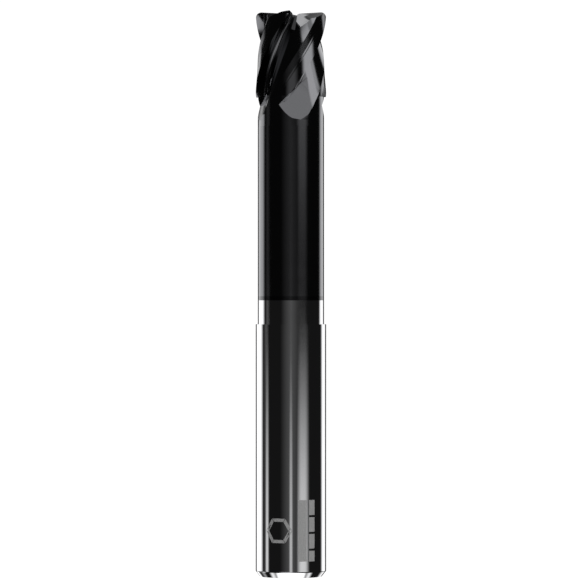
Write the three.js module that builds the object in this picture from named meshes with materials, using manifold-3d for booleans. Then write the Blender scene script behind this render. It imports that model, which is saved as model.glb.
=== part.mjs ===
// Solid-carbide end mill: four right-hand helical flutes, corner radius, relieved neck.
// Millimetres. +Z runs up the tool axis from the rear face of the shank to the tip.
import * as THREE from "three";
import * as BufferGeometryUtils from "three/addons/utils/BufferGeometryUtils.js";
import Module from "manifold-3d";

const wasm = await Module();
wasm.setup();

// Driving dimensions
const overallLength = 101.6;
const cutRadius = 6.35;
const shankRadius = 6.35;
const neckRadius = 5.975;
const cutLength = 15.3;
const headLength = 20.6;
const coatedReach = 51.9;
const neckReach = 56.2;
const rearChamferWidth = 0.77;
const rearChamferHeight = 1.0;

// Teeth
const toothCount = 4;
const helixAngle = 34;
const cornerRadius = 1.0;
const dishAngle = 3;
const primaryLandAngle = 18;
const primaryLandRadius = 0.957 * cutRadius;
const heelAngle = 37;
const fluteFarSide = 85;
const landEndStep = 0.02;
const landFade = 2.6;

// Flute section, in the plane across the axis, with the cutting edge at (cutRadius, 0)
const rakeAngle = 7;
const rakeFaceDepth = 1.25;
const fluteFloor = new THREE.Vector2(4.02, 0.9);
const fluteBackControl = new THREE.Vector2(4.42, 2.9);
const fluteBackEnd = new THREE.Vector2(3.4, 4.85);
const rakeFootPull = 0.8;
const fluteFloorPull = new THREE.Vector2(0.04, 0.7);
const fluteClearance = 1.2;
const fluteOverrun = 1;
const fluteEndClearance = 0.2;

// The grinding wheel whose last position leaves the run-out at the end of each flute
const wheelRadius = 28;
const wheelWidth = 8;
const wheelTaper = 0.1;
const wheelSwivel = 45;
const wheelFloorRadius = 3.04;
const wheelSide = 14.7;
const wheelOffset = 1.8;
const runoutMeridian = 308.5;
const cutOverlap = 0.02;

// End teeth: each end cutting edge passes edgeOffset ahead of the tool axis
const endPrimaryAngle = 11.5;
const endPrimaryWidth = 1.4;
const endSecondaryAngle = 20;
const edgeOffset = 0.34;
const edgeSkew = 6;
const gashDepth = 0.55;
const gashSlope = 32;
const gashRise = 31;
// Distance out from the axis, and there: the cutting edge, both sides of the gash floor and
// the foot of the gash wall, which leans out by lean for each millimetre of height
const gashSections = [
  { out: -0.88, edge: 0.43, left: 0.9, right: 1.21, wall: 1.3, lean: 4 },
  { out: 1.75, edge: 0.156, left: 0.5, right: 0.98, wall: 2.05, lean: 3 },
  { out: 8.35, edge: -0.54, left: -0.69, right: 0.37, wall: 5.2, lean: 0.8 },
];
const gashOverrun = 1;
const edgeInnerEnd = 0.75;
const middleRecessRadius = 1.3;
const middleRecessFloor = 1.0;
const middleRecessDepth = 0.75;
const middleRecessRim = 0.22;

const roundSegments = 96;
const cornerSegments = 8;
const curveSegments = 5;
const axialStep = 0.6;
const surfaceTolerance = 0.01;
const weldDistance = 1e-5;
const beyond = 30;

const radians = THREE.MathUtils.degToRad;
const twistPerMm = Math.tan(radians(helixAngle)) / cutRadius;
const toothPitch = (2 * Math.PI) / toothCount;

const coating = { color: 0x26272b, roughness: 0.3, metalness: 0.9 };
const carbide = { color: 0xb9bcc0, roughness: 0.22, metalness: 1.0 };

// Angle of the first tooth's cutting edge at a distance below the tip
function edgeAngle(depth) {
  return -twistPerMm * depth;
}

function depthsBetween(first, last) {
  const count = Math.ceil((last - first) / axialStep);
  return Array.from({ length: count + 1 }, (_, i) => first + ((last - first) * i) / count);
}

function toSolid(geometry) {
  const bare = geometry.index ? geometry.clone() : geometry;
  bare.deleteAttribute("normal");
  bare.deleteAttribute("uv");
  const merged = BufferGeometryUtils.mergeVertices(bare, weldDistance);
  const mesh = new wasm.Mesh({
    numProp: 3,
    vertProperties: new Float32Array(merged.attributes.position.array),
    triVerts: new Uint32Array(merged.index.array),
  });
  return new wasm.Manifold(mesh);
}

function toGeometry(solid) {
  const mesh = solid.getMesh();
  const geometry = new THREE.BufferGeometry();
  geometry.setAttribute("position", new THREE.BufferAttribute(mesh.vertProperties, 3));
  geometry.setIndex(new THREE.BufferAttribute(mesh.triVerts, 1));
  return geometry;
}

// Closed solid through sections of equal point count, listed from the lowest up,
// each one counter-clockwise seen from above
function loftSolid(sections) {
  const size = sections[0].length;
  const positions = sections.flat().flatMap((p) => [p.x, p.y, p.z]);
  const indices = [];
  for (let row = 0; row + 1 < sections.length; row += 1) {
    for (let i = 0; i < size; i += 1) {
      const a = row * size + i;
      const b = row * size + ((i + 1) % size);
      indices.push(a, b, b + size, a, b + size, a + size);
    }
  }
  const top = (sections.length - 1) * size;
  const lowest = sections[0].map((p) => new THREE.Vector2(p.x, p.y));
  const highest = sections[sections.length - 1].map((p) => new THREE.Vector2(p.x, p.y));
  for (const [a, b, c] of THREE.ShapeUtils.triangulateShape(lowest, [])) {
    indices.push(a, c, b);
  }
  for (const [a, b, c] of THREE.ShapeUtils.triangulateShape(highest, [])) {
    indices.push(top + a, top + b, top + c);
  }
  const geometry = new THREE.BufferGeometry();
  geometry.setAttribute("position", new THREE.Float32BufferAttribute(positions, 3));
  geometry.setIndex(indices);
  return toSolid(geometry);
}

// A profile of (radius, z) points turned about the tool axis
function turnedGeometry(profile) {
  const geometry = new THREE.LatheGeometry(profile, roundSegments);
  geometry.rotateX(Math.PI / 2);
  return geometry;
}

function blockSolid(width, depth, height, matrix) {
  const geometry = new THREE.BoxGeometry(width, depth, height);
  geometry.applyMatrix4(matrix);
  return toSolid(geometry);
}

// Radius of the ground blank at an angle behind a cutting edge: the primary land falls away
// behind the edge, then the secondary land falls to the neck radius at the heel
function landRadius(behind) {
  if (behind <= primaryLandAngle) {
    return THREE.MathUtils.lerp(cutRadius, primaryLandRadius, behind / primaryLandAngle);
  }
  const share = (behind - primaryLandAngle) / (heelAngle - primaryLandAngle);
  return THREE.MathUtils.lerp(primaryLandRadius, neckRadius, Math.min(share, 1));
}

function blankSection(depth) {
  const middleOfHeel = (heelAngle + primaryLandAngle) / 2;
  const anglesBehind = [fluteFarSide, heelAngle, middleOfHeel, primaryLandAngle];
  anglesBehind.push((2 * primaryLandAngle) / 3, primaryLandAngle / 3, 0);
  const fade = THREE.MathUtils.smoothstep(depth, cutLength - landFade, cutLength);
  const points = [];
  for (let tooth = 0; tooth < toothCount; tooth += 1) {
    for (const behind of anglesBehind) {
      const ground = landRadius(behind);
      const faded = THREE.MathUtils.lerp(ground, Math.max(ground, neckRadius), fade);
      const radius = depth > cutLength ? neckRadius : faded;
      const turn = edgeAngle(Math.min(depth, cutLength));
      const angle = turn + tooth * toothPitch - radians(behind);
      points.push(
        new THREE.Vector3(
          radius * Math.cos(angle),
          radius * Math.sin(angle),
          overallLength - depth
        )
      );
    }
  }
  return points;
}

function blankSolid() {
  const depths = depthsBetween(0, cutLength).concat([cutLength + landEndStep, headLength]);
  return loftSolid(depths.reverse().map(blankSection));
}

// Outline of the metal that one flute takes away, counter-clockwise from the outer rake side
function fluteOutline() {
  const edge = new THREE.Vector2(cutRadius, 0);
  const inward = new THREE.Vector2(-Math.cos(radians(rakeAngle)), -Math.sin(radians(rakeAngle)));
  const rakeFoot = edge.clone().addScaledVector(inward, rakeFaceDepth);
  const outer = edge.clone().addScaledVector(inward, -fluteClearance);
  const gullet = new THREE.CubicBezierCurve(
    rakeFoot,
    rakeFoot.clone().addScaledVector(inward, rakeFootPull),
    fluteFloor.clone().sub(fluteFloorPull),
    fluteFloor
  );
  const back = new THREE.QuadraticBezierCurve(fluteFloor, fluteBackControl, fluteBackEnd);
  const leave = back.getTangent(1);
  const outside = fluteBackEnd.clone().addScaledVector(leave, fluteClearance + fluteOverrun);
  const closing = cutRadius + 1.5 * fluteClearance;
  const middle = (outside.angle() + outer.angle()) / 2;
  const crown = new THREE.Vector2(closing * Math.cos(middle), closing * Math.sin(middle));
  const floorPoints = gullet.getPoints(curveSegments).concat(
    back.getPoints(curveSegments).slice(1)
  );
  return [outer, edge].concat(floorPoints, [outside, crown]).reverse();
}

function fluteSection(outline, depth) {
  const turn = edgeAngle(depth);
  return outline.map((p) => {
    const turned = p.clone().rotateAround(new THREE.Vector2(0, 0), turn);
    return new THREE.Vector3(turned.x, turned.y, overallLength - depth);
  });
}

// The wheel axis lies in the X-Z plane, swivelled from the tool axis
function wheelFrame() {
  const along = new THREE.Vector3(
    Math.cos(radians(wheelSwivel)),
    0,
    -Math.sin(radians(wheelSwivel))
  );
  const across = new THREE.Vector3(along.z, 0, -along.x);
  const side = new THREE.Vector3(0, 0, overallLength).addScaledVector(
    along,
    wheelSide * Math.sin(radians(wheelSwivel))
  );
  return { along, across, side };
}

function wheelSolid() {
  const { along, across, side } = wheelFrame();
  const profile = [
    new THREE.Vector2(0, 0),
    new THREE.Vector2(wheelRadius, 0),
    new THREE.Vector2(wheelRadius - wheelWidth * wheelTaper, wheelWidth),
    new THREE.Vector2(0, wheelWidth),
  ];
  const geometry = new THREE.LatheGeometry(profile, 2 * roundSegments);
  const centre = side.clone().addScaledVector(across, wheelOffset);
  centre.y = -(wheelFloorRadius + wheelRadius);
  const spin = new THREE.Quaternion().setFromUnitVectors(new THREE.Vector3(0, 1, 0), along);
  geometry.applyQuaternion(spin);
  geometry.translate(centre.x, centre.y, centre.z);
  return toSolid(geometry);
}

// Region that only the wheel's last position reaches: past its side face, and short of
// the meridian where it leaves the back of the flute
function runoutRegion() {
  const { along, side } = wheelFrame();
  const spin = new THREE.Quaternion().setFromUnitVectors(new THREE.Vector3(0, 0, 1), along);
  const centre = side.clone().addScaledVector(along, beyond / 2 + cutOverlap);
  const pastSide = new THREE.Matrix4().compose(centre, spin, new THREE.Vector3(1, 1, 1));
  const meridian = radians(runoutMeridian);
  const shortSide = new THREE.Matrix4().makeTranslation(
    (Math.sin(meridian) * beyond) / 2,
    (-Math.cos(meridian) * beyond) / 2,
    overallLength - cutLength
  );
  shortSide.multiply(new THREE.Matrix4().makeRotationZ(meridian));
  return blockSolid(2 * beyond, 2 * beyond, beyond, pastSide).intersect(
    blockSolid(2 * beyond, beyond, 2 * beyond, shortSide)
  );
}

// Everything the grinder takes out for the first tooth's flute
function fluteCutSolid() {
  const outline = fluteOutline();
  const depths = depthsBetween(-fluteOverrun, headLength - fluteEndClearance).reverse();
  const swept = loftSolid(depths.map((depth) => fluteSection(outline, depth)));
  return swept.subtract(runoutRegion()).add(wheelSolid());
}

// The gash in front of an end tooth: its steep side is the end rake face, and its flat floor
// runs out and down into the flute
function gashSolid() {
  const above = overallLength + gashOverrun;
  const sections = gashSections.map(({ out, edge, left, right, wall, lean }) => {
    const floor = overallLength - gashDepth - out * Math.tan(radians(gashSlope));
    const foot = floor + (wall - right) * Math.tan(radians(gashRise));
    const wallTop = wall + lean * (above - foot);
    return [
      new THREE.Vector3(edge, above, out),
      new THREE.Vector3(edge, overallLength, out),
      new THREE.Vector3(left, floor, out),
      new THREE.Vector3(right, floor, out),
      new THREE.Vector3(wall, foot, out),
      new THREE.Vector3(wallTop, above, out),
    ];
  });
  const acrossUpOut = new THREE.Matrix4().set(0, 0, 1, 0, 1, 0, 0, 0, 0, 1, 0, 0, 0, 0, 0, 1);
  return loftSolid(sections).transform(acrossUpOut.elements);
}

// What the end relief takes off behind an end cutting edge: a wedge above a plane that falls
// away from the edge line, which itself dips toward the axis
function endReliefSolid(startBehind, reliefAngle) {
  const reach = beyond / 2;
  const dish = radians(dishAngle);
  const edgeTop = overallLength - (cutRadius - cornerRadius) * Math.tan(dish);
  const firstDrop = startBehind * Math.tan(radians(endPrimaryAngle));
  const matrix = new THREE.Matrix4().makeTranslation(0, edgeOffset, 0);
  matrix.multiply(new THREE.Matrix4().makeRotationZ(-radians(edgeSkew)));
  matrix.multiply(new THREE.Matrix4().makeTranslation(0, -startBehind, edgeTop - firstDrop));
  matrix.multiply(new THREE.Matrix4().makeRotationY(-dish));
  matrix.multiply(new THREE.Matrix4().makeRotationX(radians(reliefAngle)));
  matrix.multiply(
    new THREE.Matrix4().makeTranslation(reach / 2 + edgeInnerEnd, -reach / 2, reach / 2)
  );
  return blockSolid(reach, reach, reach, matrix);
}

// Turned envelope of the tip: corner radius, dished end face and the low middle
function tipEnvelopeSolid() {
  const shoulder = cutRadius - cornerRadius;
  const corner = new THREE.EllipseCurve(
    shoulder,
    overallLength - cornerRadius,
    cornerRadius,
    cornerRadius,
    0,
    Math.PI / 2
  );
  const clear = cutRadius + fluteClearance;
  const profile = [
    new THREE.Vector2(0, 0),
    new THREE.Vector2(clear, 0),
    new THREE.Vector2(clear, overallLength - cornerRadius),
  ].concat(corner.getPoints(cornerSegments), [
    new THREE.Vector2(middleRecessRadius, overallLength - middleRecessRim),
    new THREE.Vector2(middleRecessFloor, overallLength - middleRecessDepth),
    new THREE.Vector2(0, overallLength - middleRecessDepth),
  ]);
  return toSolid(turnedGeometry(profile));
}

function aboutAxis(solid, tooth) {
  return solid.rotate([0, 0, (360 / toothCount) * tooth]);
}

function cuttingHead() {
  const flute = fluteCutSolid();
  const gash = gashSolid();
  const primary = endReliefSolid(0, endPrimaryAngle);
  const secondary = endReliefSolid(endPrimaryWidth, endSecondaryAngle);
  let head = blankSolid();
  for (let tooth = 0; tooth < toothCount; tooth += 1) {
    head = head.subtract(aboutAxis(flute, tooth));
    head = head.subtract(aboutAxis(gash, tooth));
    head = head.subtract(aboutAxis(primary, tooth));
    head = head.subtract(aboutAxis(secondary, tooth));
  }
  head = head.intersect(tipEnvelopeSolid());
  return toGeometry(head.simplify(surfaceTolerance));
}

// Plain turned zone between two distances below the tip
function turnedZone(radius, upperDepth, lowerDepth) {
  return turnedGeometry([
    new THREE.Vector2(0, overallLength - lowerDepth),
    new THREE.Vector2(radius, overallLength - lowerDepth),
    new THREE.Vector2(radius, overallLength - upperDepth),
    new THREE.Vector2(0, overallLength - upperDepth),
  ]);
}

function shank() {
  return turnedGeometry([
    new THREE.Vector2(0, 0),
    new THREE.Vector2(shankRadius - rearChamferWidth, 0),
    new THREE.Vector2(shankRadius, rearChamferHeight),
    new THREE.Vector2(shankRadius, overallLength - neckReach),
    new THREE.Vector2(0, overallLength - neckReach),
  ]);
}

function named(name, geometry, finish) {
  const mesh = new THREE.Mesh(geometry, new THREE.MeshStandardMaterial(finish));
  mesh.name = name;
  return mesh;
}

const endMill = new THREE.Group();
endMill.add(named("cutting_head", cuttingHead(), coating));
endMill.add(named("coated_neck", turnedZone(neckRadius, headLength, coatedReach), coating));
endMill.add(named("bare_neck_band", turnedZone(neckRadius, coatedReach, neckReach), carbide));
endMill.add(named("shank", shank(), carbide));

export default endMill;
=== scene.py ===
"""A solid-carbide end mill, standing on its shank in a plain white studio.

The ground surfaces are cut again here at a fine resolution, with the same grinding passes as
the CAD model: a land blank, one flute and one wheel run-out for each tooth, and the end teeth.
"""
import math

import bpy
import numpy as np
from mathutils import Matrix, Vector


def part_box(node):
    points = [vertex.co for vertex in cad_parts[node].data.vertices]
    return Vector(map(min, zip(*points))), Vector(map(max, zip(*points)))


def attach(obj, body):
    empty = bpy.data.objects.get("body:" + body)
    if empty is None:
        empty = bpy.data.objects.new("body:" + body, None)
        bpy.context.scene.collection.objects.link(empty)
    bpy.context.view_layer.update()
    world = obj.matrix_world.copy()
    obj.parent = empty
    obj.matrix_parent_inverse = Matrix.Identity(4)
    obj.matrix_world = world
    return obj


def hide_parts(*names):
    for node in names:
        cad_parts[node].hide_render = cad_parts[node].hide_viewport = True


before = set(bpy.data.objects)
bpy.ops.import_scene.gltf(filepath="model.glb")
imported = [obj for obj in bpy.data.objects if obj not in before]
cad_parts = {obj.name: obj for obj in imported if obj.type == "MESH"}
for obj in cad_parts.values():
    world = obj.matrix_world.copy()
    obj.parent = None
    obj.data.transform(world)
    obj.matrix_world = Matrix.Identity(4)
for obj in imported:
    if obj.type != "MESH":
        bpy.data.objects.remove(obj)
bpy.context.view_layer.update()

MM = 0.001

# ---------------------------------------------------------------- sizes, in millimetres
TIP = round(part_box("cutting_head")[1].z / MM, 4)
SHANK_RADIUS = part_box("shank")[1].x / MM
NECK_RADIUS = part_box("coated_neck")[1].x / MM
HEAD_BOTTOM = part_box("cutting_head")[0].z / MM
COATING_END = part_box("coated_neck")[0].z / MM
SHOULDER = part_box("shank")[1].z / MM
CUT_RADIUS = SHANK_RADIUS
CUT_LENGTH = 15.3
REAR_CHAMFER_WIDTH = 0.77
REAR_CHAMFER_HEIGHT = 1.0
RIM_SOFTENING = 0.05

TEETH = 4
HELIX = math.radians(34)
CORNER_RADIUS = 1.0
DISH = math.radians(3)
PRIMARY_LAND = 18
PRIMARY_LAND_RADIUS = 0.957 * CUT_RADIUS
LAND_LIP = 1.3
LAND_LIP_HEIGHT = 0.02
HEEL = 37
FLUTE_FAR_SIDE = 85
LAND_END_STEP = 0.004
LAND_FADE = 2.6

RAKE = math.radians(7)
RAKE_FACE_DEPTH = 1.25
FLUTE_FLOOR = np.array([4.02, 0.9])
FLUTE_BACK_CONTROL = np.array([4.42, 2.9])
FLUTE_BACK_END = np.array([3.4, 4.85])
RAKE_FOOT_PULL = 0.8
FLUTE_FLOOR_PULL = np.array([0.04, 0.7])
FLUTE_CLEARANCE = 1.2
FLUTE_OVERRUN = 1.0
FLUTE_END_CLEARANCE = 0.2

WHEEL_RADIUS = 28.0
WHEEL_WIDTH = 8.0
WHEEL_TAPER = 0.1
WHEEL_SWIVEL = math.radians(45)
WHEEL_FLOOR_RADIUS = 3.04
WHEEL_SIDE = 14.7
WHEEL_OFFSET = 1.8
RUNOUT_MERIDIAN = math.radians(308.5)
CUT_OVERLAP = 0.02

END_PRIMARY = math.radians(11.5)
END_PRIMARY_WIDTH = 1.4
END_SECONDARY = math.radians(20)
EDGE_OFFSET = 0.34
EDGE_SKEW = math.radians(6)
GASH_SLOPE = math.radians(32)
GASH_DEPTH = 0.55
GASH_RISE = math.radians(31)
GASH_OVERRUN = 1.0
# Distance from the middle, with the end cutting edge, the two sides of the gash floor, the
# foot of its wall and how far the wall leans out for each millimetre of height
GASH_SECTIONS = [
    (-0.88, 0.43, 0.9, 1.21, 1.3, 4.0),
    (1.75, 0.156, 0.5, 0.98, 2.05, 3.0),
    (8.35, -0.54, -0.69, 0.37, 5.2, 0.8),
]
EDGE_INNER_END = 0.75
MIDDLE_RECESS_RADIUS = 1.3
MIDDLE_RECESS_FLOOR = 1.0
MIDDLE_RECESS_DEPTH = 0.75
MIDDLE_RECESS_RIM = 0.22
ENVELOPE_RADIUS = CUT_RADIUS + 1.0
ENVELOPE_FOOT = 50.0
ENVELOPE_EYE = 0.02

# The laser mark, drawn flat: x round the front of the shank, z up from its rear face
MARK_MIDDLE = 8.5
MARK_RING_X = -2.3
MARK_RING = 2.5
MARK_RING_WIDTH = 0.65
MARK_GAP = 0.02
MARK_SINK = 0.01
MARK_RISE = 0.006
# Left, right, lowest and highest of each bar
MARK_BARS = [
    (1.3, 2.9, 3.0, 14.0),
    (3.4, 4.6, 3.0, 4.9),
    (3.4, 4.6, 5.3, 7.9),
    (3.4, 4.6, 8.3, 10.9),
    (3.4, 4.6, 11.3, 14.0),
]

# How finely the curved faces are drawn
ROW_STEP = 0.12
TURNED_STEPS = 384
WHEEL_STEPS = 900
ENVELOPE_STEPS = 360
CORNER_STEPS = 20
LAND_STEPS = 12
HEEL_STEPS = 10
GULLET_STEPS = 22
BACK_STEPS = 28
MARK_RING_STEPS = 8
MARK_BAR_STEPS = 10
# A narrow row beside a soft rim keeps the long face next to it flat in the light
HOLDING_ROW = 0.2
SHARP_ANGLE = math.radians(20)
BEYOND = 30.0
TWIST = math.tan(HELIX) / CUT_RADIUS
TOOTH_PITCH = 2 * math.pi / TEETH


# ---------------------------------------------------------------- camera
CAMERA_DISTANCE = 0.717


def add_camera():
    """Level with the middle of the tool, with a long lens, as in product photography."""
    camera = bpy.data.cameras.new("camera")
    camera.sensor_width = 36.0
    camera.lens = 244.4
    camera.shift_x = 0.0035
    camera.shift_y = 0.0021
    camera.clip_start = 0.05
    camera.clip_end = 20.0
    holder = bpy.data.objects.new("camera", camera)
    bpy.context.scene.collection.objects.link(holder)
    holder.location = (0.0, -CAMERA_DISTANCE, TIP * MM / 2)
    holder.rotation_euler = (math.radians(90), 0.0, 0.0)
    bpy.context.scene.camera = holder


# ---------------------------------------------------------------- node helpers
class Nodes:
    """Short calls for building one node tree."""

    def __init__(self, tree):
        self.tree = tree
        tree.nodes.clear()

    def add(self, kind, **settings):
        node = self.tree.nodes.new(kind)
        for key, value in settings.items():
            setattr(node, key, value)
        return node

    def link(self, source, target):
        self.tree.links.new(source, target)

    def put(self, socket, value):
        if isinstance(value, bpy.types.NodeSocket):
            self.link(value, socket)
        else:
            socket.default_value = value

    def math(self, operation, a, b=None):
        node = self.add("ShaderNodeMath", operation=operation)
        self.put(node.inputs[0], a)
        if b is not None:
            self.put(node.inputs[1], b)
        return node.outputs[0]

    def ease(self, value, start, end, low=0.0, high=1.0):
        """Smoothly from low at start to high at end, held outside them."""
        node = self.add("ShaderNodeMapRange", interpolation_type="SMOOTHSTEP")
        self.put(node.inputs[0], value)
        for socket, number in zip(node.inputs[1:5], (start, end, low, high)):
            socket.default_value = number
        return node.outputs[0]

    def ramp(self, value, stops):
        """A grey ramp through (position, brightness) stops."""
        node = self.add("ShaderNodeValToRGB")
        self.put(node.inputs[0], value)
        elements = node.color_ramp.elements
        while len(elements) > 1:
            elements.remove(elements[-1])
        elements[0].position = stops[0][0]
        elements[0].color = (*[stops[0][1]] * 3, 1.0)
        for position, grey in stops[1:]:
            elements.new(position).color = (grey, grey, grey, 1.0)
        return node.outputs[0]

    def noise(self, vector, scale, detail=2.0, roughness=0.5):
        node = self.add("ShaderNodeTexNoise")
        self.link(vector, node.inputs["Vector"])
        node.inputs["Scale"].default_value = scale
        node.inputs["Detail"].default_value = detail
        node.inputs["Roughness"].default_value = roughness
        return node.outputs["Fac"]


# ---------------------------------------------------------------- light
LIGHT = 2.6
BACKDROP = 1.05
FAINT = 0.005
# Below the first of these elevations the table starts to show, past the second it is white
TABLE_EDGE = (-60.0, -68.0)
# Soft panels of light round the tool. Each has its middle and half-width (0 is the front,
# positive the right), the blur of its sides, its lowest and highest elevation, the blur of
# those edges, all in degrees, and its brightness.
WHITE_CARDS = [
    (-130, 20, 8, -10, 5, 2, 0.75),
    (135, 14, 8, -10, 5, 2, 0.75),
    (-150, 12, 4, 4, 10, 2, 0.5),
    (135, 15, 5, 8, 22, 2, 0.8),
]
STRIPS = [
    (-85, 5, 5, -12, -2, 2, 0.5),
    (0, 4, 5, -12, -2, 2, 0.4),
    (40, 15, 10, -12, -2, 2, 0.45),
]
FRONT_GLOW = [
    (0, 20, 25, -12, 8, 2, 0.05),
    (-90, 5, 10, -12, 5, 2, 0.06),
    (40, 15, 8, 2, 6, 2, 0.25),
    (-12, 15, 10, 10, 16, 2, 0.15),
]
SOFTBOXES = [
    (45, 18, 7, 10, 38, 2, 0.95),
    (60, 13, 5, 20, 30, 2, 0.75),
    (0, 15, 5, 32, 44, 3, 0.9),
    (25, 18, 6, 22, 52, 3, 0.45),
    (-150, 16, 8, 36, 50, 4, 0.7),
]
LOW_FILLS = [
    (-15, 20, 10, -22, -13, 3, 0.5),
    (10, 20, 12, -40, -23, 4, 0.5),
    (-12, 24, 10, -66, -54, 4, 0.85),
    (180, 75, 12, -66, -54, 4, 0.85),
]
REAR = [
    (180, 30, 15, 8, 65, 5, 0.1),
    (-165, 9, 7, -44, -14, 3, 0.8),
    (-130, 10, 9, -40, -15, 4, 0.3),
    (-105, 7, 5, -44, -16, 3, 0.75),
    (160, 12, 8, -44, -18, 4, 0.6),
]


def soft_panel(n, turn, height, panel):
    """The brightness of one panel in every direction."""
    middle, half, side_blur, low, high, edge_blur, brightness = panel
    off = n.math("ABSOLUTE", n.math("SUBTRACT", turn, middle))
    off = n.math("MINIMUM", off, n.math("SUBTRACT", 360.0, off))
    sides = n.ease(off, half + side_blur, half - side_blur, 0.0, brightness)
    foot = n.ease(height, low - edge_blur, low + edge_blur)
    head = n.ease(height, high + edge_blur, high - edge_blur)
    return n.math("MULTIPLY", sides, n.math("MULTIPLY", foot, head))


def add_world():
    """White to the eye. What the tool reflects is a dark studio with soft panels, white cards
    at both sides and a pale table."""
    world = bpy.data.worlds.new("studio")
    bpy.context.scene.world = world
    world.use_nodes = True
    n = Nodes(world.node_tree)
    place = n.add("ShaderNodeTexCoord")
    split = n.add("ShaderNodeSeparateXYZ")
    n.link(place.outputs["Generated"], split.inputs[0])
    x, y, z = split.outputs
    around = n.math("ARCTAN2", x, n.math("MULTIPLY", y, -1.0))
    turn = n.math("MULTIPLY", around, 180 / math.pi)
    height = n.math("MULTIPLY", n.math("ARCSINE", z), 180 / math.pi)
    total = n.math("MAXIMUM", n.ease(height, *TABLE_EDGE), FAINT)
    for panel in [*WHITE_CARDS, *STRIPS, *FRONT_GLOW, *SOFTBOXES, *LOW_FILLS, *REAR]:
        total = n.math("MAXIMUM", total, soft_panel(n, turn, height, panel))

    studio = n.add("ShaderNodeBackground")
    n.link(total, studio.inputs["Color"])
    studio.inputs["Strength"].default_value = LIGHT
    backdrop = n.add("ShaderNodeBackground")
    backdrop.inputs["Color"].default_value = (1.0, 1.0, 1.0, 1.0)
    backdrop.inputs["Strength"].default_value = BACKDROP
    seen = n.add("ShaderNodeLightPath")
    mix = n.add("ShaderNodeMixShader")
    n.link(seen.outputs["Is Camera Ray"], mix.inputs[0])
    n.link(studio.outputs[0], mix.inputs[1])
    n.link(backdrop.outputs[0], mix.inputs[2])
    output = n.add("ShaderNodeOutputWorld")
    n.link(mix.outputs[0], output.inputs[0])
    bpy.context.scene.view_settings.view_transform = "Standard"


FLOOR_HALF_SIZE = 1.5


def add_floor():
    """A plain white table that the tool's polished sides don't mirror."""
    size = FLOOR_HALF_SIZE
    mesh = bpy.data.meshes.new("floor")
    corners = [(-size, -size, 0), (size, -size, 0), (size, size, 0), (-size, size, 0)]
    mesh.from_pydata(corners, [], [(0, 1, 2, 3)])
    floor = bpy.data.objects.new("floor", mesh)
    bpy.context.scene.collection.objects.link(floor)
    floor.visible_glossy = False
    floor.visible_shadow = False
    material = bpy.data.materials.new("white_table")
    material.use_nodes = True
    n = Nodes(material.node_tree)
    shader = n.add("ShaderNodeBsdfPrincipled")
    shader.inputs["Base Color"].default_value = (0.02, 0.02, 0.02, 1.0)
    shader.inputs["Roughness"].default_value = 0.9
    shader.inputs["Specular IOR Level"].default_value = 0.1
    shader.inputs["Emission Color"].default_value = (1.0, 1.0, 1.0, 1.0)
    shader.inputs["Emission Strength"].default_value = BACKDROP
    output = n.add("ShaderNodeOutputMaterial")
    n.link(shader.outputs[0], output.inputs[0])
    mesh.materials.append(material)


# ---------------------------------------------------------------- materials
# How fine each texture is, in cycles per metre
LINES_ROUND = 60.0
LINES_ALONG = 9000.0
CLOUDS = 260.0
SPECKS = 5200.0
FROST = 9000.0
CLOUD_TONE = 0.10
COATING_THIN_BAND = 0.7
COATING_THIN_FADE = 0.105
COATING_THIN_TONE = 0.55
SPECK_TONE = 0.05


def ring_lines(n, place):
    """Noise stretched round the tool axis, as a turning grinding wheel leaves it."""
    stretch = n.add("ShaderNodeMapping")
    n.link(place, stretch.inputs["Vector"])
    stretch.inputs["Scale"].default_value = (LINES_ROUND, LINES_ROUND, LINES_ALONG)
    return n.noise(stretch.outputs["Vector"], 1.0, detail=3.0)


def metal(name, tint, roughness, spread, bump_height, edge_fade=None):
    """Ground and polished metal: fine turned lines, cloudy polish and faint tint changes."""
    material = bpy.data.materials.new(name)
    material.use_nodes = True
    n = Nodes(material.node_tree)
    place = n.add("ShaderNodeTexCoord").outputs["Object"]
    lines = ring_lines(n, place)
    clouds = n.noise(place, CLOUDS, detail=4.0)
    specks = n.noise(place, SPECKS, detail=1.0)

    shader = n.add("ShaderNodeBsdfPrincipled")
    shader.inputs["Metallic"].default_value = 1.0
    tone = n.math("ADD", n.math("MULTIPLY", clouds, CLOUD_TONE), 1.0 - CLOUD_TONE / 2)
    specks = n.math("MULTIPLY", n.math("SUBTRACT", specks, 0.5), SPECK_TONE)
    tone = n.math("ADD", tone, specks)
    if edge_fade is not None:
        height = n.add("ShaderNodeSeparateXYZ")
        n.link(place, height.inputs[0])
        tone = n.math("MULTIPLY", tone, edge_fade(n, height.outputs[2]))
    colour = n.add("ShaderNodeMix", data_type="RGBA", blend_type="MULTIPLY")
    colour.inputs["Factor"].default_value = 1.0
    colour.inputs["A"].default_value = (*tint, 1.0)
    n.link(tone, colour.inputs["B"])
    n.link(colour.outputs["Result"], shader.inputs["Base Color"])

    uneven = n.math("ADD", n.math("MULTIPLY", lines, spread), roughness - spread / 2)
    uneven = n.math("ADD", uneven, n.math("MULTIPLY", n.math("SUBTRACT", clouds, 0.5), spread))
    n.link(uneven, shader.inputs["Roughness"])

    bump = n.add("ShaderNodeBump")
    bump.inputs["Strength"].default_value = 1.0
    bump.inputs["Distance"].default_value = bump_height
    n.link(lines, bump.inputs["Height"])
    n.link(bump.outputs[0], shader.inputs["Normal"])
    output = n.add("ShaderNodeOutputMaterial")
    n.link(shader.outputs[0], output.inputs[0])
    return material


def coating_edge(n, height):
    """The coating is thin and dull along the last stretch before it stops."""
    thin = (COATING_END + COATING_THIN_BAND) * MM
    full = thin + COATING_THIN_FADE * MM
    return n.ease(height, thin, full, COATING_THIN_TONE, 1.0)


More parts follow.
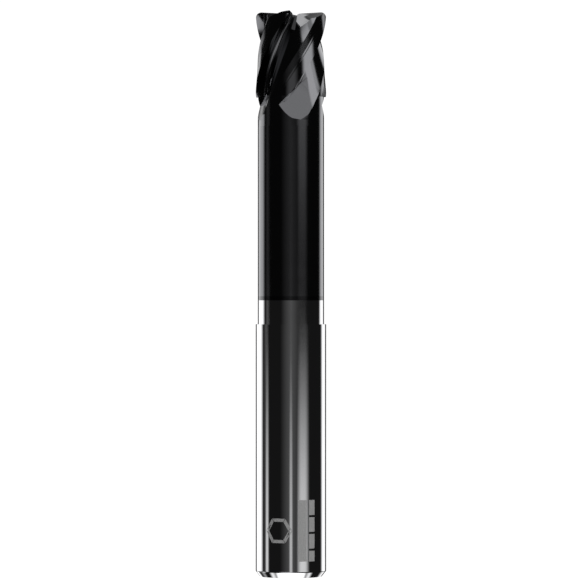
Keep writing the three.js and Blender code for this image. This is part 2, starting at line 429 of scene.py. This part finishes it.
def frosted(name):
    """Laser-frosted carbide: pale, fine-grained and dull."""
    material = bpy.data.materials.new(name)
    material.use_nodes = True
    n = Nodes(material.node_tree)
    place = n.add("ShaderNodeTexCoord").outputs["Object"]
    grain = n.noise(place, FROST, detail=2.0)
    shader = n.add("ShaderNodeBsdfPrincipled")
    shader.inputs["Metallic"].default_value = 0.35
    tone = n.ramp(grain, [(0.3, 0.26), (0.7, 0.36)])
    n.link(tone, shader.inputs["Base Color"])
    n.link(n.math("ADD", n.math("MULTIPLY", grain, 0.2), 0.5), shader.inputs["Roughness"])
    bump = n.add("ShaderNodeBump")
    bump.inputs["Strength"].default_value = 0.4
    bump.inputs["Distance"].default_value = 0.004 * MM
    n.link(grain, bump.inputs["Height"])
    n.link(bump.outputs[0], shader.inputs["Normal"])
    output = n.add("ShaderNodeOutputMaterial")
    n.link(shader.outputs[0], output.inputs[0])
    return material


# ---------------------------------------------------------------- meshes
def mesh_object(name, points, faces):
    mesh = bpy.data.meshes.new(name)
    mesh.from_pydata([tuple(p) for p in points], [], faces)
    mesh.validate()
    piece = bpy.data.objects.new(name, mesh)
    bpy.context.scene.collection.objects.link(piece)
    return piece


def loft(name, sections):
    """A closed skin through sections of equal size, listed from the lowest up."""
    size = len(sections[0])
    faces = []
    for row in range(len(sections) - 1):
        for i in range(size):
            a = row * size + i
            b = row * size + (i + 1) % size
            faces.append((a, b, b + size, a + size))
    top = (len(sections) - 1) * size
    faces.append(tuple(range(size - 1, -1, -1)))
    faces.append(tuple(range(top, top + size)))
    return mesh_object(name, np.concatenate(sections), faces)


def turned(name, profile, segments):
    """A solid turned about the tool axis from (radius, height) points off the axis."""
    angles = np.linspace(0, 2 * math.pi, segments, endpoint=False)
    sections = []
    for radius, height in profile:
        ring = np.stack(
            [radius * np.cos(angles), radius * np.sin(angles), np.full(segments, height)], 1
        )
        sections.append(ring)
    return loft(name, sections)


def block(name, size, matrix):
    """A box of the given size, centred on the matrix's origin."""
    corners = [
        Vector((sx * size[0] / 2, sy * size[1] / 2, sz * size[2] / 2))
        for sz in (-1, 1)
        for sy in (-1, 1)
        for sx in (-1, 1)
    ]
    faces = [(0, 2, 3, 1), (4, 5, 7, 6), (0, 1, 5, 4), (2, 6, 7, 3), (0, 4, 6, 2), (1, 3, 7, 5)]
    return mesh_object(name, [matrix @ corner for corner in corners], faces)


def combine(target, tool, operation):
    """target becomes target DIFFERENCE, UNION or INTERSECT tool."""
    modifier = target.modifiers.new("cut", "BOOLEAN")
    modifier.operation = operation
    modifier.solver = "MANIFOLD"
    modifier.object = tool
    graph = bpy.context.evaluated_depsgraph_get()
    made = bpy.data.meshes.new_from_object(target.evaluated_get(graph))
    old = target.data
    target.modifiers.clear()
    target.data = made
    bpy.data.meshes.remove(old)


def discard(*pieces):
    for piece in pieces:
        mesh = piece.data
        bpy.data.objects.remove(piece)
        bpy.data.meshes.remove(mesh)


def turn_about_axis(piece, angle):
    piece.data.transform(Matrix.Rotation(angle, 4, "Z"))
    bpy.context.view_layer.update()


# ---------------------------------------------------------------- the cutting head
def depths(first, last):
    return np.linspace(first, last, math.ceil((last - first) / ROW_STEP) + 1)


def smoothstep(value, start, end):
    share = min(max((value - start) / (end - start), 0.0), 1.0)
    return share * share * (3 - 2 * share)


def land_radius(behind):
    """Radius of the ground blank at an angle behind a cutting edge, in degrees."""
    crest = PRIMARY_LAND + LAND_LIP
    next_edge = 360 / TEETH
    lip = PRIMARY_LAND_RADIUS + LAND_LIP_HEIGHT / 2
    below_lip = PRIMARY_LAND_RADIUS - LAND_LIP_HEIGHT
    knots = [0, PRIMARY_LAND, crest, crest + LAND_LIP, HEEL, FLUTE_FAR_SIDE, next_edge]
    radii = [CUT_RADIUS, lip, lip, below_lip, NECK_RADIUS, NECK_RADIUS, CUT_RADIUS]
    return np.interp(behind, knots, radii)


def blank_section(depth):
    crest = PRIMARY_LAND + LAND_LIP
    behind = np.concatenate([
        [FLUTE_FAR_SIDE, 70, 55, 46],
        np.linspace(HEEL, crest + LAND_LIP, HEEL_STEPS),
        [crest],
        np.linspace(PRIMARY_LAND, 0, LAND_STEPS),
    ])
    ground = land_radius(behind)
    fade = smoothstep(depth, CUT_LENGTH - LAND_FADE, CUT_LENGTH)
    radius = ground + (np.maximum(ground, NECK_RADIUS) - ground) * fade
    if depth > CUT_LENGTH:
        radius = np.full(len(behind), NECK_RADIUS)
    start = -TWIST * min(depth, CUT_LENGTH)
    points = []
    for tooth in range(TEETH):
        angle = start + tooth * TOOTH_PITCH - np.radians(behind)
        points.append(np.stack([radius * np.cos(angle), radius * np.sin(angle)], 1))
    flat = np.concatenate(points)
    return np.column_stack([flat, np.full(len(flat), TIP - depth)])


def blank():
    rows = [*depths(0, CUT_LENGTH), *depths(CUT_LENGTH + LAND_END_STEP, TIP - HEAD_BOTTOM)]
    return loft("blank", [blank_section(depth) for depth in reversed(rows)])


def bezier(points, count):
    """Points along a quadratic or cubic Bezier curve."""
    degree = len(points) - 1
    t = np.linspace(0, 1, count)[:, None]
    total = np.zeros((count, 2))
    for i, point in enumerate(points):
        total += math.comb(degree, i) * t**i * (1 - t) ** (degree - i) * point
    return total


def flute_outline():
    """The metal that one flute takes away, in the plane across the axis."""
    edge = np.array([CUT_RADIUS, 0.0])
    inward = -np.array([math.cos(RAKE), math.sin(RAKE)])
    rake_foot = edge + inward * RAKE_FACE_DEPTH
    outer = edge - inward * FLUTE_CLEARANCE
    pulls = [rake_foot + inward * RAKE_FOOT_PULL, FLUTE_FLOOR - FLUTE_FLOOR_PULL]
    gullet = bezier([rake_foot, *pulls, FLUTE_FLOOR], GULLET_STEPS)
    back = bezier([FLUTE_FLOOR, FLUTE_BACK_CONTROL, FLUTE_BACK_END], BACK_STEPS)
    leave = FLUTE_BACK_END - FLUTE_BACK_CONTROL
    leave = leave / np.linalg.norm(leave)
    outside = FLUTE_BACK_END + leave * (FLUTE_CLEARANCE + FLUTE_OVERRUN)
    middle = (math.atan2(outside[1], outside[0]) + math.atan2(outer[1], outer[0])) / 2
    closing = CUT_RADIUS + 1.5 * FLUTE_CLEARANCE
    crown = closing * np.array([math.cos(middle), math.sin(middle)])
    outline = [outer, edge, *gullet, *back[1:], outside, crown]
    return np.array(outline[::-1])


def flute():
    """One helical flute, as the solid that the wheel sweeps out."""
    outline = flute_outline()
    sections = []
    for depth in reversed(depths(-FLUTE_OVERRUN, TIP - HEAD_BOTTOM - FLUTE_END_CLEARANCE)):
        turn = -TWIST * depth
        spin = np.array([[math.cos(turn), math.sin(turn)], [-math.sin(turn), math.cos(turn)]])
        flat = outline @ spin
        sections.append(np.column_stack([flat, np.full(len(flat), TIP - depth)]))
    return loft("flute", sections)


def wheel_frame():
    """The wheel's axis, the direction across it and the middle of its side face."""
    along = Vector((math.cos(WHEEL_SWIVEL), 0, -math.sin(WHEEL_SWIVEL)))
    across = Vector((along.z, 0, -along.x))
    side = Vector((0, 0, TIP)) + along * WHEEL_SIDE * math.sin(WHEEL_SWIVEL)
    return along, across, side


def wheel():
    """The grinding wheel where it stops at the end of a flute."""
    along, across, side = wheel_frame()
    narrow = WHEEL_RADIUS - WHEEL_WIDTH * WHEEL_TAPER
    disc = turned("wheel", [(WHEEL_RADIUS, 0), (narrow, WHEEL_WIDTH)], WHEEL_STEPS)
    centre = side + across * WHEEL_OFFSET
    centre.y = -(WHEEL_FLOOR_RADIUS + WHEEL_RADIUS)
    spin = Vector((0, 0, 1)).rotation_difference(along).to_matrix().to_4x4()
    disc.data.transform(Matrix.Translation(centre) @ spin)
    return disc


def runout_region():
    """Where only the wheel's last position reaches."""
    along, _, side = wheel_frame()
    spin = Vector((0, 0, 1)).rotation_difference(along).to_matrix().to_4x4()
    centre = side + along * (BEYOND / 2 + CUT_OVERLAP)
    region = block("region", (2 * BEYOND, 2 * BEYOND, BEYOND), Matrix.Translation(centre) @ spin)
    reach = BEYOND / 2
    middle = Vector((math.sin(RUNOUT_MERIDIAN), -math.cos(RUNOUT_MERIDIAN), 0)) * reach
    middle.z = TIP - CUT_LENGTH
    turn = Matrix.Rotation(RUNOUT_MERIDIAN, 4, "Z")
    short = block("short", (2 * BEYOND, BEYOND, 2 * BEYOND), Matrix.Translation(middle) @ turn)
    combine(region, short, "INTERSECT")
    discard(short)
    return region


def gash():
    """The notch in front of an end tooth, with a flat floor that slopes up to the middle."""
    above = TIP + GASH_OVERRUN
    sections = []
    for x, edge, left, right, wall, lean in GASH_SECTIONS:
        floor = TIP - GASH_DEPTH - x * math.tan(GASH_SLOPE)
        foot = floor + (wall - right) * math.tan(GASH_RISE)
        section = [
            (x, edge, above),
            (x, edge, TIP),
            (x, left, floor),
            (x, right, floor),
            (x, wall, foot),
            (x, wall + lean * (above - foot), above),
        ]
        sections.append(np.array(section))
    return loft("gash", sections)


def end_relief(behind, angle):
    """What is ground off behind an end cutting edge."""
    edge_top = TIP - (CUT_RADIUS - CORNER_RADIUS) * math.tan(DISH)
    drop = behind * math.tan(END_PRIMARY)
    reach = BEYOND / 2
    start = Matrix.Translation((0, EDGE_OFFSET, 0)) @ Matrix.Rotation(-EDGE_SKEW, 4, "Z")
    matrix = (
        start
        @ Matrix.Translation((0, -behind, edge_top - drop))
        @ Matrix.Rotation(-DISH, 4, "Y")
        @ Matrix.Rotation(angle, 4, "X")
        @ Matrix.Translation((reach / 2 + EDGE_INNER_END, -reach / 2, reach / 2))
    )
    return block("relief", (reach, reach, reach), matrix)


def tip_envelope():
    """Turned outline of the corner radius, the end face and its low middle."""
    shoulder = CUT_RADIUS - CORNER_RADIUS
    corner_height = TIP - CORNER_RADIUS
    profile = [(ENVELOPE_RADIUS, ENVELOPE_FOOT), (ENVELOPE_RADIUS, corner_height)]
    for angle in np.linspace(0, math.pi / 2, CORNER_STEPS):
        radius = shoulder + CORNER_RADIUS * math.cos(angle)
        profile.append((radius, corner_height + CORNER_RADIUS * math.sin(angle)))
    profile.append((MIDDLE_RECESS_RADIUS, TIP - MIDDLE_RECESS_RIM))
    profile.append((MIDDLE_RECESS_FLOOR, TIP - MIDDLE_RECESS_DEPTH))
    profile.append((ENVELOPE_EYE, TIP - MIDDLE_RECESS_DEPTH))
    return turned("envelope", profile, ENVELOPE_STEPS)


def cutting_head():
    head = blank()
    cutter = flute()
    region = runout_region()
    combine(cutter, region, "DIFFERENCE")
    tools = [
        cutter,
        wheel(),
        gash(),
        end_relief(0, END_PRIMARY),
        end_relief(END_PRIMARY_WIDTH, END_SECONDARY),
    ]
    for _ in range(TEETH):
        for tool in tools:
            combine(head, tool, "DIFFERENCE")
            turn_about_axis(tool, TOOTH_PITCH)
    envelope = tip_envelope()
    combine(head, envelope, "INTERSECT")
    discard(region, envelope, *tools)
    head.name = "ground_cutting_head"
    return head


def finish_piece(piece, node, material):
    """Millimetres to metres, smooth faces with crisp edges, finish and place in the frame."""
    mesh = piece.data
    mesh.transform(Matrix.Scale(MM, 4))
    mesh.name = piece.name
    mesh.materials.clear()
    mesh.materials.append(material)
    mesh.polygons.foreach_set("use_smooth", [True] * len(mesh.polygons))
    mesh.set_sharp_from_angle(angle=SHARP_ANGLE)
    mesh.update()
    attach(piece, "root")
    if node is not None:
        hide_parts(node)


def on_shank(x, z, radius):
    """A point of a flat drawing wrapped round the front of the shank."""
    angle = x / SHANK_RADIUS - math.pi / 2
    return (radius * math.cos(angle), radius * math.sin(angle), z)


def mark_strip(points, faces, rows):
    """A thin closed plate between two lines of (x, z) points, wrapped on the shank."""
    first = len(points)
    for low, high in rows:
        for x, z in (low, high):
            points.append(on_shank(x, z, SHANK_RADIUS - MARK_SINK))
            points.append(on_shank(x, z, SHANK_RADIUS + MARK_RISE))
    for row in range(len(rows) - 1):
        a = first + 4 * row
        b = a + 4
        faces.append((a + 1, b + 1, b + 3, a + 3))
        faces.append((a, a + 2, b + 2, b))
        faces.append((a, b, b + 1, a + 1))
        faces.append((a + 2, a + 3, b + 3, b + 2))
    last = first + 4 * (len(rows) - 1)
    faces.append((first, first + 1, first + 3, first + 2))
    faces.append((last, last + 2, last + 3, last + 1))


def spread(start, end, count):
    """Points along a straight line, both ends included."""
    return [tuple(p) for p in np.linspace(start, end, count)]


def laser_mark():
    """A plain hexagon ring and a ladder of plain bars beside it."""
    points, faces = [], []
    for side in range(6):
        turns = [math.radians(60 * (side + end)) for end in (MARK_GAP, 1 - MARK_GAP)]
        rims = []
        for radius in (MARK_RING - MARK_RING_WIDTH, MARK_RING):
            ends = [
                (MARK_RING_X + radius * math.cos(t), MARK_MIDDLE + radius * math.sin(t))
                for t in turns
            ]
            rims.append(spread(*ends, MARK_RING_STEPS))
        mark_strip(points, faces, list(zip(*rims)))
    for left, right, low, high in MARK_BARS:
        columns = np.linspace(left, right, MARK_BAR_STEPS)
        mark_strip(points, faces, [((x, low), (x, high)) for x in columns])
    return mesh_object("laser_mark", points, faces)


def neck_zone(name, upper, lower):
    """A plain round stretch of the relieved neck."""
    middle = (upper + lower) / 2
    profile = [(NECK_RADIUS, lower), (NECK_RADIUS, middle), (NECK_RADIUS, upper)]
    return turned(name, profile, TURNED_STEPS)


def shank():
    """Rear chamfer with softened rims, then the plain ground shank up to its shoulder."""
    soft = RIM_SOFTENING
    full_width = REAR_CHAMFER_HEIGHT + soft / 2
    profile = [
        (SHANK_RADIUS - REAR_CHAMFER_WIDTH - soft, 0),
        (SHANK_RADIUS - REAR_CHAMFER_WIDTH, soft / 3),
        (SHANK_RADIUS - soft / 2, REAR_CHAMFER_HEIGHT - soft),
        (SHANK_RADIUS, full_width),
        (SHANK_RADIUS, full_width + HOLDING_ROW),
        (SHANK_RADIUS, SHOULDER / 2),
        (SHANK_RADIUS, SHOULDER),
    ]
    return turned("ground_shank", profile, TURNED_STEPS)


def main():
    add_camera()
    add_world()
    add_floor()
    coating = metal(
        "coated_carbide",
        tint=(0.118, 0.119, 0.125),
        roughness=0.1,
        spread=0.03,
        bump_height=0.00003 * MM,
        edge_fade=coating_edge,
    )
    polished = metal(
        "polished_carbide",
        tint=(0.50, 0.502, 0.51),
        roughness=0.055,
        spread=0.018,
        bump_height=0.00002 * MM,
    )
    finish_piece(cutting_head(), "cutting_head", coating)
    neck = neck_zone("ground_coated_neck", HEAD_BOTTOM, COATING_END)
    finish_piece(neck, "coated_neck", coating)
    band = neck_zone("ground_bare_band", COATING_END, SHOULDER)
    finish_piece(band, "bare_neck_band", polished)
    finish_piece(shank(), "shank", polished)
    finish_piece(laser_mark(), None, frosted("laser_frosting"))


main()
